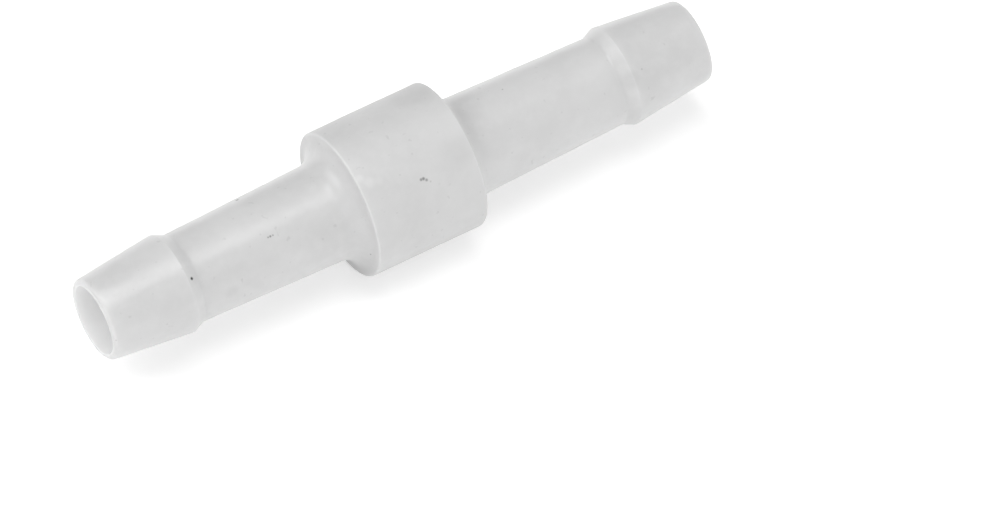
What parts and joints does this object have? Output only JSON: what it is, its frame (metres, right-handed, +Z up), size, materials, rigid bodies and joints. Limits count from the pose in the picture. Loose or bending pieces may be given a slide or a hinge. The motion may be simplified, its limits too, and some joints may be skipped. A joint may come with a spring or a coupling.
{
  "type": "hose connector",
  "caption": "Straight hose connector moulded in one piece: a tube with a barbed spigot at each end and a thicker round collar in the middle that stops the hoses.",
  "frame": {"origin": "the middle of the bore, which is also the middle of the collar and of the whole part", "axes": "+X along the bore towards one end, +Z up with the part lying on its collar"},
  "size_m": [0.0616, 0.014, 0.014],
  "materials": {
    "natural_plastic": "milky translucent, satin"
  },
  "bodies": {
    "root": {"hose_connector": "natural_plastic"}
  },
  "joints": []
}
